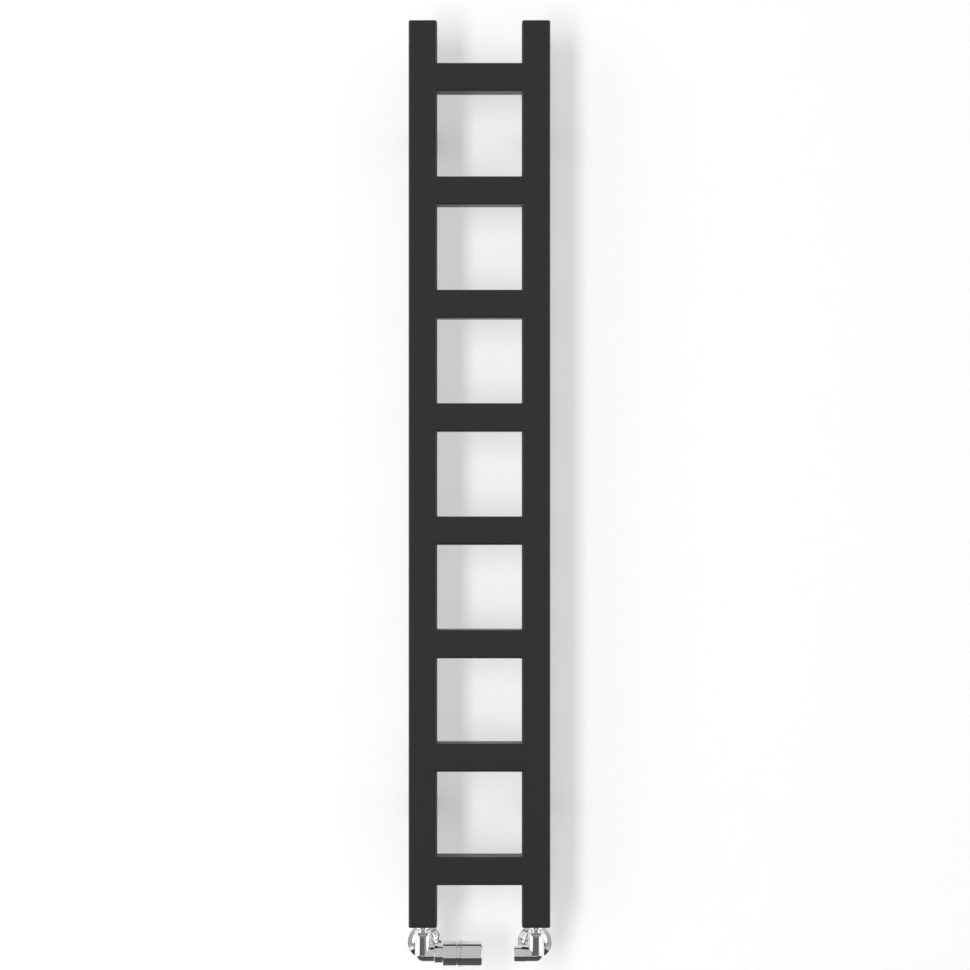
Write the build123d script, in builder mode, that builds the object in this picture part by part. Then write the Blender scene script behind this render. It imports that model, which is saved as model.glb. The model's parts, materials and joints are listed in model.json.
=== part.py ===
"""Narrow wall-hung towel warmer rack with a thermostatic valve and a lockshield valve.

All sizes are millimetres. The origin is the centre of the four wall fixings, on the
face of the wall: +X is to the right as seen from the room, +Y goes into the wall and
+Z is up. The rack is a welded water-filled ladder of flat tubes on four telescopic
brackets, with an angled valve under each upright.
"""

from build123d import *

import os
from math import cos, radians, sqrt

# Ladder frame
CONNECTION_CENTRES = 160.0  # between the axes of the two uprights
UPRIGHT_FACE = 40.0  # width of an upright seen from the room
BAR_FACE = 40.0  # height of a crossbar seen from the room
BAR_COUNT = 8
BAR_PITCH = 160.0
HORN = 60.0  # upright above the top bar, and below the bottom bar
TUBE_DEPTH = 30.0
TUBE_WALL = 1.5
TUBE_CORNER = 2.5
PORT_RADIUS = 9.0  # water port from an upright into a bar
WELD_GAP = 0.05  # between pieces that are welded or glued together
COPE_LIP = 0.2  # thickness left where a bar's coped end runs out
END_PLATE = 3.0
END_ROUND = 2.0
WALL_GAP = 55.0  # from the wall to the backs of the tubes

# Wall brackets
BRACKET_PITCH = 960.0  # between the upper and the lower pair
CUP_DIA = 34.0
CUP_LENGTH = 40.0
CUP_BASE = 4.0
CUP_ROUND = 1.5
SCREW_HOLE_DIA = 5.5
STEM_DIA = 16.0
STEM_FIT = 0.1
STEM_FLANGE_DIA = 22.0
STEM_FLANGE = 3.0
STEM_TO_WALL = 12.0  # room for a screw head in the cup
STUD_DIA = 8.0
STUD_LENGTH = 10.0
BOSS_WALL = 4.0
BOSS_LENGTH = 14.0
GRUB_DIA = 5.0
GRUB_STATION = 28.0  # from the wall

# Air vent and blank plug, on the backs of the uprights near the top
VENT_DROP = 25.0
VENT_THREAD_DIA = 9.6
VENT_BOSS_LENGTH = 12.0
VENT_GASKET = 1.0
VENT_HEX = 14.0  # across the flats
VENT_HEX_LENGTH = 3.0
VENT_NOSE_DIA = 10.0
VENT_NOSE_LENGTH = 6.0
BLEED_SHANK_DIA = 4.0
BLEED_SHANK_LENGTH = 7.0
BLEED_SQUARE = 5.0
BLEED_SQUARE_LENGTH = 4.7
PLUG_KEY = 5.0  # across the flats of the plug's socket
PLUG_KEY_DEPTH = 4.0

# Fits
THREAD_FIT = 0.05
RUNNING_FIT = 0.1
LOOSE_FIT = 0.3

# Radiator connections
CONNECTION_DIA = 21.0  # thread bore of a socket
SOCKET_WALL = 2.5
SOCKET_LENGTH = 20.0
BUSH_LENGTH = 18.0
NECK_DIA = 13.8
NECK_SHOW = 8.0  # of a tail nipple between its nut and the rack
NECK_ENGAGED = 12.0
RING_SECTION = 1.8  # diameter of the larger rubber rings

# Valve bodies
VALVE_DROP = 40.0  # from the bottom of the frame to the valve axis
VALVE_DIA = 23.0
UNION_LENGTH = 12.9
UNION_WALL = 2.7
UNION_BREAK = 0.4
SPANNER_FLATS = 18.0  # across the front and back of a union nut
SPANNER_HEIGHT = 4.8  # of its flats, down from its top
TAIL_BELL_DIA = 18.6
TAIL_BELL_FOOT = 1.6  # from the nut to the flare of the bell
TAIL_FLARE = 2.8
SPIGOT_LENGTH = 3.0
TAIL_GASKET = 1.0
TAIL_COLLAR = 2.0
WATERWAY_DIA = 10.0
LINK_DIA = 6.0
CHAMBER_WALL = 3.0
WEB = 1.0  # metal between two waterways
SEAT_CLEARANCE = 0.05  # left open at the end of travel
PLUNGER_TRAVEL = 1.5  # each way from rest

# Thermostatic side, stations measured from the valve axis towards the knob
BODY_REACH = 16.0
SEAT_DEPTH = 14.0  # from the mouth of the branch to the seat
COLLAR_LENGTH = 12.2
COLLAR_DIA = 27.6
COLLAR_WALL = 2.0
COLLAR_BREAK = 0.6
HEAD_GROOVE = 0.4
HEAD_DIA = 37.0
HEAD_ROUND = 0.5
BASE_LENGTH = 19.2
BASE_WALL = 2.5
BASE_PLATE = 3.0
NECK_STUB = 3.0
KNOB_GROOVE = 1.6
KNOB_GROOVE_DEPTH = 1.2
KNOB_LENGTH = 34.0
KNOB_DOME = 2.5
KNOB_SHOULDER_ROUND = 2.0
KNOB_WALL = 2.8
KNOB_ROOF = 4.0
KNOB_CLEARANCE = 0.2
CORE_CLEARANCE = 6.0
CORE_ROOF = 3.0
SENSOR_DIA = 18.8
SENSOR_STANDOFF = 4.4
SENSOR_ROOM = 3.0
PIN_DIA = 6.0
PIN_CLEARANCE = 1.5
DISC_DIA = 13.6
DISC_LENGTH = 2.0
SPINDLE_DIA = 3.6
SPINDLE_FLANGE = 1.0
SPINDLE_SHOW = 2.5
STOP_CLEARANCE = 0.45
INSERT_FLOOR = 3.0
INSERT_FLANGE = 3.0
SPRING_CHAMBER_DIA = 10.4
GLAND_LENGTH = 3.0
SPRING_LENGTH = 8.0
SPRING_WIRE = 0.8
SPRING_DIA = 7.6
SPRING_TURNS = 4
SPRING_COLLAR = 1.0
SPRING_COLLAR_DIA = 8.4
SMALL_RING_SECTION = 1.4

# Lockshield side, stations measured from the valve axis towards the cap
LOCK_REACH = 14.0
LOCK_SEAT_DEPTH = 12.0
LOCK_CAP_LENGTH = 16.9
LOCK_CAP_DIA = 24.0
LOCK_CAP_ROUND = 0.6
LOCK_CAP_ROOF = 3.0
LOCK_FLANGE = 2.5
LOCK_FLANGE_WALL = 1.7
LOCK_BOSS_STEP = 1.5
LOCK_BOSS_LENGTH = 5.5
LOCK_INSERT_ENGAGED = 7.0
PLUG_DIA = 12.0
PLUG_LENGTH = 6.0
PLUG_FACE = 1.5
LOCK_SHAFT_DIA = 6.0
LOCK_TIP_DIA = 4.0
LOCK_THRUST_DIA = 10.0
LOCK_THRUST_LENGTH = 1.4
LOCK_KEY_LENGTH = 2.0
LOCK_RING_SECTION = 1.0

# Pipe connections to the wall, stations measured from the valve axis towards the wall
PIPE_SOCKET_DIA = 15.2
PIPE_SOCKET_START = 12.0
PIPE_SOCKET_LENGTH = 14.0
REAR_BRANCH_DIA = 22.0
REAR_THREAD_DIA = 20.6
REAR_THREAD_LENGTH = 12.0
NUT_DIA = 24.5
NUT_LENGTH = 14.0
NUT_THREAD_ENGAGED = 8.0
NUT_ROOF = 3.0
OLIVE_DIA = 19.0
OLIVE_LENGTH = 2.5
PIPE_CLEARANCE = 0.1
SLEEVE_DIA = 20.0
SLEEVE_WALL = 2.0
ROSETTE_DIA = 50.0
ROSETTE_DEPTH = 7.0
ROSETTE_HUB_DIA = 37.0
ROSETTE_RISE = 0.6
ROSETTE_RIM = 1.5
ROSETTE_ROUND = 0.8
ROSETTE_COLLAR = 2.0
ROSETTE_SHEET = 1.0

# Worked-out places
FRAME_HEIGHT = (BAR_COUNT - 1) * BAR_PITCH + BAR_FACE + 2 * HORN
FRAME_TOP = FRAME_HEIGHT / 2
FRAME_BOTTOM = -FRAME_HEIGHT / 2
TUBE_Y = -(WALL_GAP + TUBE_DEPTH / 2)
LEFT_X = -CONNECTION_CENTRES / 2
RIGHT_X = CONNECTION_CENTRES / 2
UPRIGHT_XS = (LEFT_X, RIGHT_X)
BAR_GAP = CONNECTION_CENTRES - UPRIGHT_FACE
BAR_ZS = [FRAME_TOP - HORN - BAR_FACE / 2 - index * BAR_PITCH for index in range(BAR_COUNT)]
BRACKET_ZS = (BRACKET_PITCH / 2, -BRACKET_PITCH / 2)
VALVE_Z = FRAME_BOTTOM - VALVE_DROP
VENT_Z = FRAME_TOP - VENT_DROP
WALL_STATION = -TUBE_Y
ON_AXIS = (Align.CENTER, Align.CENTER, Align.MIN)
SAME_RADIUS = 1e-6


def keep(piece, name):
    """Label a finished piece and write it as a STEP file of its own."""
    piece.part.label = name
    export_step(piece.part, f"parts/{name}.step")


def rod(plane, start, stop, radius, mode=Mode.ADD):
    """Add a round length between two stations on a plane's axis, or cut it away."""
    with Locations(plane.offset(start)):
        Cylinder(radius, stop - start, align=ON_AXIS, mode=mode)


def bore(plane, start, stop, radius):
    """Cut a round hole between two stations on a plane's axis."""
    rod(plane, start, stop, radius, Mode.SUBTRACT)


def rubber_ring(plane, station, inside, section):
    """Add a round-section ring that sits on a shaft of the given radius."""
    with Locations(plane.offset(station)):
        Torus(inside + section / 2, section / 2)


def rims(piece, radius):
    """Return the circular edges of a turned piece that have one radius."""
    circles = piece.edges().filter_by(GeomType.CIRCLE)
    return circles.filter_by(lambda edge: abs(edge.radius - radius) < SAME_RADIUS)


def upward_at(x):
    """Return the plane on a valve's axis that looks up into its upright."""
    return Plane((x, TUBE_Y, VALVE_Z), x_dir=(1, 0, 0), z_dir=(0, 0, 1))


def wallward_at(x):
    """Return the plane on a valve's axis that looks back to the wall."""
    return Plane((x, TUBE_Y, VALVE_Z), x_dir=(1, 0, 0), z_dir=(0, 1, 0))


def roomward_at(x, z):
    """Return the plane on the wall that looks out along a bracket or a vent."""
    return Plane((x, 0, z), x_dir=(1, 0, 0), z_dir=(0, -1, 0))


HEAD_PLANE = Plane((LEFT_X, TUBE_Y, VALVE_Z), x_dir=(0, 1, 0), z_dir=(1, 0, 0))
LOCK_PLANE = Plane((RIGHT_X, TUBE_Y, VALVE_Z), x_dir=(0, 1, 0), z_dir=(-1, 0, 0))

os.makedirs("parts", exist_ok=True)

# Uprights: hollow tubes with a water port for each bar, seats for the rear bosses, and room
# round the connection socket where the tube is shallower than the socket
CONNECTION_RADIUS = CONNECTION_DIA / 2
SOCKET_RADIUS = CONNECTION_RADIUS + SOCKET_WALL
SOCKET_START = VALVE_DROP + END_PLATE
SOCKET_END = SOCKET_START + SOCKET_LENGTH
STUD_BOSS_RADIUS = STUD_DIA / 2 + BOSS_WALL
VENT_BOSS_RADIUS = VENT_THREAD_DIA / 2 + BOSS_WALL
TUBE_HALF_LENGTH = FRAME_TOP - END_PLATE

for side, x in (("left", LEFT_X), ("right", RIGHT_X)):
    inward = -1 if x > 0 else 1
    with BuildPart() as upright:
        with BuildSketch(Plane((x, TUBE_Y, -TUBE_HALF_LENGTH))):
            RectangleRounded(UPRIGHT_FACE, TUBE_DEPTH, TUBE_CORNER)
            RectangleRounded(
                UPRIGHT_FACE - 2 * TUBE_WALL,
                TUBE_DEPTH - 2 * TUBE_WALL,
                TUBE_CORNER - TUBE_WALL,
                mode=Mode.SUBTRACT,
            )
        extrude(amount=2 * TUBE_HALF_LENGTH)
        for z in BAR_ZS:
            bore(Plane((x, TUBE_Y, z), z_dir=(inward, 0, 0)), 0, UPRIGHT_FACE / 2, PORT_RADIUS)
        for z in BRACKET_ZS:
            bore(roomward_at(x, z), WALL_GAP, WALL_GAP + 2 * TUBE_WALL, STUD_BOSS_RADIUS + WELD_GAP)
        bore(roomward_at(x, VENT_Z), WALL_GAP, WALL_GAP + 2 * TUBE_WALL, VENT_BOSS_RADIUS + WELD_GAP)
        bore(upward_at(x), SOCKET_START, SOCKET_END + WELD_GAP, SOCKET_RADIUS + WELD_GAP)
    keep(upright, f"{side}_upright")

# Crossbars: hollow tubes, coped round the corners of the uprights so their fronts are flush
COPE_SPAN = sqrt(2 * TUBE_CORNER * COPE_LIP - COPE_LIP**2)
BAR_LENGTH = BAR_GAP + 2 * (TUBE_CORNER - COPE_SPAN)

for number, z in enumerate(BAR_ZS, start=1):
    with BuildPart() as crossbar:
        with BuildSketch(Plane((-BAR_LENGTH / 2, TUBE_Y, z), x_dir=(0, 1, 0), z_dir=(1, 0, 0))):
            RectangleRounded(TUBE_DEPTH, BAR_FACE, TUBE_CORNER)
            RectangleRounded(
                TUBE_DEPTH - 2 * TUBE_WALL,
                BAR_FACE - 2 * TUBE_WALL,
                TUBE_CORNER - TUBE_WALL,
                mode=Mode.SUBTRACT,
            )
        extrude(amount=BAR_LENGTH)
        with BuildSketch(Plane.XY.offset(z - BAR_FACE)):
            with Locations((LEFT_X, TUBE_Y), (RIGHT_X, TUBE_Y)):
                RectangleRounded(
                    UPRIGHT_FACE + 2 * WELD_GAP,
                    TUBE_DEPTH + 2 * WELD_GAP,
                    TUBE_CORNER + WELD_GAP,
                )
        extrude(amount=2 * BAR_FACE, mode=Mode.SUBTRACT)
    keep(crossbar, f"crossbar_{number}")

# End plates: the bottom ones let the radiator connections through
for side, x in (("left", LEFT_X), ("right", RIGHT_X)):
    with BuildPart() as top_cap:
        with BuildSketch(Plane((x, TUBE_Y, FRAME_TOP - END_PLATE))):
            RectangleRounded(UPRIGHT_FACE, TUBE_DEPTH, TUBE_CORNER)
        extrude(amount=END_PLATE)
        fillet(top_cap.faces().sort_by(Axis.Z)[-1].edges(), END_ROUND)
    keep(top_cap, f"{side}_top_cap")

    with BuildPart() as bottom_cap:
        with BuildSketch(Plane((x, TUBE_Y, FRAME_BOTTOM))):
            RectangleRounded(UPRIGHT_FACE, TUBE_DEPTH, TUBE_CORNER)
        extrude(amount=END_PLATE)
        fillet(bottom_cap.faces().sort_by(Axis.Z)[0].edges(), END_ROUND)
        bore(upward_at(x), VALVE_DROP, VALVE_DROP + END_PLATE, CONNECTION_RADIUS)
    keep(bottom_cap, f"{side}_bottom_cap")

# Radiator connections: sockets inside the uprights, reducing bushes and their rubber rings
NECK_RADIUS = NECK_DIA / 2
BUSH_RADIUS = CONNECTION_RADIUS - THREAD_FIT
RING_STATION = SOCKET_START + RING_SECTION
WATERWAY_RADIUS = WATERWAY_DIA / 2

with BuildPart() as connection_sockets:
    for x in UPRIGHT_XS:
        rod(upward_at(x), SOCKET_START, SOCKET_END, SOCKET_RADIUS)
        bore(upward_at(x), SOCKET_START, SOCKET_END, CONNECTION_RADIUS)
keep(connection_sockets, "connection_sockets")

with BuildPart() as reducing_bushes:
    for x in UPRIGHT_XS:
        rod(upward_at(x), VALVE_DROP, VALVE_DROP + BUSH_LENGTH, BUSH_RADIUS)
        bore(upward_at(x), VALVE_DROP, VALVE_DROP + NECK_ENGAGED, NECK_RADIUS + THREAD_FIT)
        bore(upward_at(x), VALVE_DROP, VALVE_DROP + BUSH_LENGTH, WATERWAY_RADIUS)
        groove = upward_at(x).offset(RING_STATION - RING_SECTION / 2)
        with BuildSketch(groove):
            Circle(BUSH_RADIUS + RING_SECTION)
            Circle(BUSH_RADIUS - RING_SECTION, mode=Mode.SUBTRACT)
        extrude(amount=RING_SECTION, mode=Mode.SUBTRACT)
keep(reducing_bushes, "reducing_bushes")

with BuildPart() as bush_rings:
    for x in UPRIGHT_XS:
        rubber_ring(upward_at(x), RING_STATION, BUSH_RADIUS - RING_SECTION, RING_SECTION)
keep(bush_rings, "bush_rings")

# Rear bosses for the vent and the plug, and blind bosses for the bracket studs
with BuildPart() as vent_bosses:
    for x in UPRIGHT_XS:
        vent = roomward_at(x, VENT_Z)
        rod(vent, WALL_GAP, WALL_GAP + VENT_BOSS_LENGTH, VENT_BOSS_RADIUS)
        bore(vent, WALL_GAP, WALL_GAP + VENT_BOSS_LENGTH, VENT_THREAD_DIA / 2 + THREAD_FIT)
keep(vent_bosses, "vent_bosses")

with BuildPart() as bracket_bosses:
    for x in UPRIGHT_XS:
        for z in BRACKET_ZS:
            rod(roomward_at(x, z), WALL_GAP, WALL_GAP + BOSS_LENGTH, STUD_BOSS_RADIUS)
            bore(
                roomward_at(x, z),
                WALL_GAP,
                WALL_GAP + STUD_LENGTH + WEB,
                STUD_DIA / 2 + THREAD_FIT,
            )
keep(bracket_bosses, "bracket_bosses")

# Air vent on the left upright and blank plug on the right one
VENT_FACE = WALL_GAP - VENT_GASKET
VENT_HEX_END = VENT_FACE - VENT_HEX_LENGTH
VENT_NOSE_END = VENT_HEX_END - VENT_NOSE_LENGTH
VENT_HEX_RADIUS = VENT_HEX / 2 / cos(radians(30))
VENT_THREAD_END = WALL_GAP + VENT_BOSS_LENGTH - 2 * WEB
BLEED_BORE_END = VENT_NOSE_END + BLEED_SHANK_LENGTH + LOOSE_FIT
LEFT_VENT = roomward_at(LEFT_X, VENT_Z)
RIGHT_VENT = roomward_at(RIGHT_X, VENT_Z)

with BuildPart() as vent_gaskets:
    for vent in (LEFT_VENT, RIGHT_VENT):
        rod(vent, VENT_FACE, WALL_GAP, VENT_HEX / 2)
        bore(vent, VENT_FACE, WALL_GAP, VENT_THREAD_DIA / 2 + THREAD_FIT)
keep(vent_gaskets, "vent_gaskets")

with BuildPart() as air_vent_body:
    with BuildSketch(LEFT_VENT.offset(VENT_HEX_END)):
        RegularPolygon(VENT_HEX_RADIUS, 6)
    extrude(amount=VENT_HEX_LENGTH)
    rod(LEFT_VENT, VENT_FACE, VENT_THREAD_END, VENT_THREAD_DIA / 2)
    rod(LEFT_VENT, VENT_NOSE_END, VENT_HEX_END, VENT_NOSE_DIA / 2)
    bore(LEFT_VENT, VENT_NOSE_END, BLEED_BORE_END, BLEED_SHANK_DIA / 2 + THREAD_FIT)
    bore(LEFT_VENT, VENT_NOSE_END, VENT_THREAD_END, BLEED_SHANK_DIA / 4)
keep(air_vent_body, "air_vent_body")

with BuildPart() as bleed_screw:
    rod(LEFT_VENT, VENT_NOSE_END - LOOSE_FIT, BLEED_BORE_END - LOOSE_FIT, BLEED_SHANK_DIA / 2)
    with BuildSketch(LEFT_VENT.offset(VENT_NOSE_END - LOOSE_FIT - BLEED_SQUARE_LENGTH)):
        Rectangle(BLEED_SQUARE, BLEED_SQUARE)
    extrude(amount=BLEED_SQUARE_LENGTH)
    chamfer(bleed_screw.faces().sort_by(Axis.Y)[-1].edges(), BLEED_SQUARE / 10)
keep(bleed_screw, "bleed_screw")

with BuildPart() as blank_plug:
    with BuildSketch(RIGHT_VENT.offset(VENT_HEX_END)):
        RegularPolygon(VENT_HEX_RADIUS, 6)
    extrude(amount=VENT_HEX_LENGTH)
    rod(RIGHT_VENT, VENT_FACE, VENT_THREAD_END, VENT_THREAD_DIA / 2)
    with BuildSketch(RIGHT_VENT.offset(VENT_HEX_END)):
        RegularPolygon(PLUG_KEY / 2 / cos(radians(30)), 6)
    extrude(amount=PLUG_KEY_DEPTH, mode=Mode.SUBTRACT)
keep(blank_plug, "blank_plug")

# Wall brackets: a cup screwed to the wall, a stem in it on the upright, and a grub screw
CUP_BORE_RADIUS = STEM_DIA / 2 + STEM_FIT
corners = [
    (f"{level}_{side}", x, z)
    for level, z in zip(("upper", "lower"), BRACKET_ZS)
    for side, x in zip(("left", "right"), UPRIGHT_XS)
]

for corner, x, z in corners:
    bracket = roomward_at(x, z)
    with BuildPart() as cup:
        rod(bracket, 0, CUP_LENGTH, CUP_DIA / 2)
        fillet(rims(cup, CUP_DIA / 2).sort_by(Axis.Y)[0], CUP_ROUND)
        bore(bracket, CUP_BASE, CUP_LENGTH, CUP_BORE_RADIUS)
        bore(bracket, 0, CUP_BASE, SCREW_HOLE_DIA / 2)
        bore(
            Plane((x, -GRUB_STATION, z), z_dir=(0, 0, -1)),
            0,
            CUP_DIA / 2,
            GRUB_DIA / 2 + THREAD_FIT,
        )
    keep(cup, f"{corner}_bracket_cup")

    with BuildPart() as stem:
        rod(bracket, STEM_TO_WALL, WALL_GAP, STEM_DIA / 2)
        rod(bracket, WALL_GAP - STEM_FLANGE, WALL_GAP, STEM_FLANGE_DIA / 2)
        rod(bracket, WALL_GAP, WALL_GAP + STUD_LENGTH, STUD_DIA / 2)
    keep(stem, f"{corner}_bracket_stem")

with BuildPart() as bracket_grub_screws:
    for _, x, z in corners:
        grub = Plane((x, -GRUB_STATION, z), z_dir=(0, 0, -1))
        rod(grub, CUP_BORE_RADIUS, CUP_DIA / 2 - WEB, GRUB_DIA / 2)
        with BuildSketch(grub.offset(CUP_DIA / 2 - WEB)):
            RegularPolygon(GRUB_DIA / 4, 6)
        extrude(amount=-GRUB_DIA / 2, mode=Mode.SUBTRACT)
keep(bracket_grub_screws, "bracket_grub_screws")

# Valve bodies: a ball elbow with branches up to the rack, back to the wall and inward
VALVE_RADIUS = VALVE_DIA / 2
CHAMBER_RADIUS = VALVE_RADIUS - CHAMBER_WALL
LINK_RADIUS = LINK_DIA / 2
UNION_TOP = VALVE_DROP - NECK_SHOW
BODY_TOP = UNION_TOP - UNION_LENGTH
SPIGOT_TOP = BODY_TOP + SPIGOT_LENGTH
UNION_INNER_RADIUS = VALVE_RADIUS - UNION_WALL
SPIGOT_RADIUS = UNION_INNER_RADIUS - RUNNING_FIT
UNDER_SEAT = VALVE_RADIUS - CHAMBER_WALL
RISER_FOOT = WATERWAY_RADIUS + WEB
HEAD_SEAT = BODY_REACH - SEAT_DEPTH
LOCK_SEAT = LOCK_REACH - LOCK_SEAT_DEPTH
REAR_WATERWAY_START = CHAMBER_RADIUS + WEB
REAR_END = PIPE_SOCKET_START + PIPE_SOCKET_LENGTH
REAR_SHOULDER = REAR_END - REAR_THREAD_LENGTH

for name, x, inward, reach, seat in (
    ("left_valve_body", LEFT_X, HEAD_PLANE, BODY_REACH, HEAD_SEAT),
    ("right_valve_body", RIGHT_X, LOCK_PLANE, LOCK_REACH, LOCK_SEAT),
):
    upward = upward_at(x)
    wallward = wallward_at(x)
    with BuildPart() as valve_body:
        with Locations(upward):
            Sphere(VALVE_RADIUS)
        rod(upward, 0, BODY_TOP, VALVE_RADIUS)
        rod(inward, 0, reach, VALVE_RADIUS)
        rod(upward, BODY_TOP, SPIGOT_TOP, SPIGOT_RADIUS)
        rod(wallward, 0, REAR_SHOULDER, REAR_BRANCH_DIA / 2)
        rod(wallward, REAR_SHOULDER, REAR_END, REAR_THREAD_DIA / 2)
        bore(inward, seat, reach, CHAMBER_RADIUS)
        bore(inward, -UNDER_SEAT, seat, WATERWAY_RADIUS)
        bore(upward, RISER_FOOT, SPIGOT_TOP, WATERWAY_RADIUS)
        bore(wallward, PIPE_SOCKET_START, REAR_END, PIPE_SOCKET_DIA / 2)
        bore(wallward, REAR_WATERWAY_START, PIPE_SOCKET_START, WATERWAY_RADIUS)
        link_origin = inward.offset(-(UNDER_SEAT - LINK_RADIUS)).origin
        link = Plane(link_origin, x_dir=(1, 0, 0), z_dir=(0, 1, 0))
        bore(link, 0, PIPE_SOCKET_START, LINK_RADIUS)
    keep(valve_body, name)

# Unions between the valves and the rack: nuts with spanner flats, and tail nipples with a bell on top
GASKET_TOP = SPIGOT_TOP + TAIL_GASKET
COLLAR_TOP = GASKET_TOP + TAIL_COLLAR
FLAT_FOOT = UNION_TOP - SPANNER_HEIGHT
FLARE_START = UNION_TOP + TAIL_BELL_FOOT
FLARE_END = FLARE_START + TAIL_FLARE
BELL_RADIUS = TAIL_BELL_DIA / 2

with BuildPart() as union_nuts:
    for x in UPRIGHT_XS:
        rod(upward_at(x), BODY_TOP, UNION_TOP, VALVE_RADIUS)
        with BuildSketch(upward_at(x).offset(FLAT_FOOT)):
            with GridLocations(0, SPANNER_FLATS + VALVE_DIA, 1, 2):
                Rectangle(VALVE_DIA, VALVE_DIA)
        extrude(amount=SPANNER_HEIGHT, mode=Mode.SUBTRACT)
    levels = union_nuts.faces().filter_by(Axis.Z).group_by(Axis.Z)
    chamfer(levels[0].edges() + levels[-1].edges(), UNION_BREAK)
    for x in UPRIGHT_XS:
        bore(upward_at(x), BODY_TOP, COLLAR_TOP, UNION_INNER_RADIUS)
        bore(upward_at(x), COLLAR_TOP, UNION_TOP, NECK_RADIUS + RUNNING_FIT)
keep(union_nuts, "union_nuts")

with BuildPart() as tail_nipples:
    for x in UPRIGHT_XS:
        rod(upward_at(x), GASKET_TOP, COLLAR_TOP, SPIGOT_RADIUS)
        rod(upward_at(x), COLLAR_TOP, VALVE_DROP + NECK_ENGAGED, NECK_RADIUS)
        with Locations(upward_at(x).offset(FLARE_START)):
            Cone(NECK_RADIUS, BELL_RADIUS, TAIL_FLARE, align=ON_AXIS)
        rod(upward_at(x), FLARE_END, VALVE_DROP, BELL_RADIUS)
        bore(upward_at(x), GASKET_TOP, VALVE_DROP + NECK_ENGAGED, WATERWAY_RADIUS)
keep(tail_nipples, "tail_nipples")

with BuildPart() as tail_gaskets:
    for x in UPRIGHT_XS:
        rod(upward_at(x), SPIGOT_TOP, GASKET_TOP, SPIGOT_RADIUS - RUNNING_FIT)
        bore(upward_at(x), SPIGOT_TOP, GASKET_TOP, WATERWAY_RADIUS + RUNNING_FIT)
keep(tail_gaskets, "tail_gaskets")

# Pipe connections: compression nuts and olives, cover sleeves and wall rosettes
NUT_START = REAR_END - NUT_THREAD_ENGAGED
NUT_END = NUT_START + NUT_LENGTH
PIPE_HOLE_RADIUS = PIPE_SOCKET_DIA / 2 + PIPE_CLEARANCE
NUT_BORE_RADIUS = REAR_THREAD_DIA / 2 + THREAD_FIT
SLEEVE_RADIUS = SLEEVE_DIA / 2

with BuildPart() as compression_nuts:
    for x in UPRIGHT_XS:
        wallward = wallward_at(x)
        rod(wallward, NUT_START, NUT_END, NUT_DIA / 2)
    chamfer(rims(compression_nuts, NUT_DIA / 2), UNION_BREAK)
    for x in UPRIGHT_XS:
        wallward = wallward_at(x)
        bore(wallward, NUT_START, NUT_END - NUT_ROOF, NUT_BORE_RADIUS)
        bore(wallward, NUT_END - NUT_ROOF, NUT_END, PIPE_HOLE_RADIUS)
keep(compression_nuts, "compression_nuts")

with BuildPart() as olives:
    for x in UPRIGHT_XS:
        wallward = wallward_at(x)
        rod(wallward, REAR_END, REAR_END + OLIVE_LENGTH, OLIVE_DIA / 2)
        chamfer(rims(olives, OLIVE_DIA / 2).sort_by(Axis.X)[-2:], OLIVE_LENGTH / 4)
        bore(wallward, REAR_END, REAR_END + OLIVE_LENGTH, PIPE_HOLE_RADIUS)
keep(olives, "olives")

with BuildPart() as cover_sleeves:
    for x in UPRIGHT_XS:
        rod(wallward_at(x), NUT_END, WALL_STATION, SLEEVE_RADIUS)
        bore(wallward_at(x), NUT_END, WALL_STATION, SLEEVE_RADIUS - SLEEVE_WALL)
keep(cover_sleeves, "cover_sleeves")

ROSETTE_BORE = SLEEVE_RADIUS + RUNNING_FIT
ROSETTE_FLAT = ROSETTE_BORE + ROSETTE_COLLAR
ROSETTE_EDGE = ROSETTE_DIA / 2
ROSETTE_TOP = WALL_STATION - ROSETTE_DEPTH
ROSETTE_HUB = ROSETTE_HUB_DIA / 2
RIM_STATION = WALL_STATION - ROSETTE_RIM
HUB_STATION = RIM_STATION - ROSETTE_RISE

for side, x in (("left", LEFT_X), ("right", RIGHT_X)):
    section = Plane((x, TUBE_Y, VALVE_Z), x_dir=(0, 1, 0), z_dir=(1, 0, 0))
    with BuildPart() as rosette:
        with BuildSketch(section):
            with BuildLine():
                Polyline(
                    (HUB_STATION, ROSETTE_HUB),
                    (RIM_STATION, ROSETTE_EDGE),
                    (WALL_STATION, ROSETTE_EDGE),
                    (WALL_STATION, ROSETTE_EDGE - ROSETTE_SHEET),
                    (RIM_STATION + ROSETTE_SHEET, ROSETTE_EDGE - ROSETTE_SHEET),
                    (HUB_STATION + ROSETTE_SHEET, ROSETTE_HUB - ROSETTE_SHEET),
                )
                Polyline(
                    (ROSETTE_TOP, ROSETTE_FLAT),
                    (ROSETTE_TOP, ROSETTE_BORE),
                    (ROSETTE_TOP + ROSETTE_SHEET, ROSETTE_BORE),
                    (ROSETTE_TOP + ROSETTE_SHEET, ROSETTE_FLAT),
                )
                for start, end in (
                    ((ROSETTE_TOP, ROSETTE_FLAT), (HUB_STATION, ROSETTE_HUB)),
                    (
                        (ROSETTE_TOP + ROSETTE_SHEET, ROSETTE_FLAT),
                        (HUB_STATION + ROSETTE_SHEET, ROSETTE_HUB - ROSETTE_SHEET),
                    ),
                ):
                    TangentArc(start, end, tangent=(0, 1))
            make_face()
        revolve(axis=Axis((x, TUBE_Y, VALVE_Z), (0, 1, 0)))
        fillet(rims(rosette, ROSETTE_EDGE).sort_by(Axis.Y)[0], radius=ROSETTE_ROUND)
    keep(rosette, f"{side}_rosette")

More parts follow.
